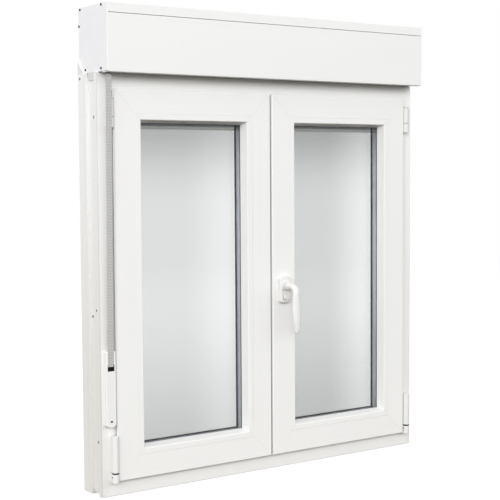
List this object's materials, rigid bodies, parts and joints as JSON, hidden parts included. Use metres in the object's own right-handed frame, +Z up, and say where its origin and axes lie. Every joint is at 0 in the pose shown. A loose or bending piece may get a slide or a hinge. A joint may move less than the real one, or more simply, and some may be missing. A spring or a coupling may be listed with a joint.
{
  "type": "two-leaf tilt-and-turn window with roller shutter box",
  "caption": "White PVC window with inward-opening glazed leaves, a lever handle, and a roller shutter box above worked by a strap and recoiler on the jamb.",
  "frame": {"origin": "middle of the front foot, the room-side lip of the sill's underside, at half the window's width", "axes": "+X to the right seen from the room, +Y from the room to the outside, +Z up"},
  "size_m": [1, 0.1762, 1.185],
  "materials": {
    "pvc_profile": "smooth white extruded PVC",
    "box_panel": "smooth white extruded PVC panel",
    "end_plate": "fine-grained moulded plastic",
    "seal": "matt black rubber",
    "glass": "clear float glass",
    "spacer": "mill-finished spacer bar",
    "strap": "woven grey tape",
    "recoiler": "moulded white plastic",
    "hinge": "moulded white cover",
    "handle_lacquer": "white powder coat",
    "guide": "white lacquered aluminium",
    "slat": "white extruded slat",
    "stop": "moulded plastic",
    "moulded_plastic": "moulded plastic",
    "fastener": "dark plated screws and pins"
  },
  "bodies": {
    "window": {"astragal": "pvc_profile", "box_back_panel": "box_panel", "box_front_panel": "box_panel", "box_front_rail": "box_panel", "box_left_end": "end_plate", "box_right_end": "end_plate", "box_top_panel": "box_panel", "box_underside": "box_panel", "drain_caps": "moulded_plastic", "frame_head": "pvc_profile", "frame_left_jamb": "pvc_profile", "frame_right_jamb": "pvc_profile", "frame_seal": "seal", "frame_sill": "pvc_profile", "glazing_seals": "seal", "guide_inlets": "moulded_plastic", "handle_lock": "handle_lacquer", "handle_rosette": "handle_lacquer", "leaf_seals": "seal", "left_guide_flanges": "guide", "left_guide_web": "guide", "left_leaf_beads": "pvc_profile", "left_leaf_bottom_rail": "pvc_profile", "left_leaf_hinge_stile": "pvc_profile", "left_leaf_meeting_stile": "pvc_profile", "left_leaf_panes": "glass", "left_leaf_top_rail": "pvc_profile", "lower_hinge_brackets": "hinge", "lower_hinge_covers": "hinge", "right_guide_flanges": "guide", "right_guide_web": "guide", "right_leaf_beads": "pvc_profile", "right_leaf_bottom_rail": "pvc_profile", "right_leaf_hinge_stile": "pvc_profile", "right_leaf_meeting_stile": "pvc_profile", "right_leaf_panes": "glass", "right_leaf_top_rail": "pvc_profile", "shutter_slats": "slat", "shutter_stops": "stop", "shutter_strap": "strap", "spacer_bars": "spacer", "strap_guide": "moulded_plastic", "strap_recoiler": "recoiler", "upper_hinge_arms": "hinge", "upper_hinge_knuckles": "hinge"},
    "handle": {"handle_lever": "handle_lacquer"}
  },
  "joints": [
    {"name": "handle_turn", "type": "hinge", "parent": "window", "child": "handle", "pos_m": [0.037, -0.0375, 0.4865], "axis": [0, -1, 0], "range_deg": [0, 180]}
  ]
}
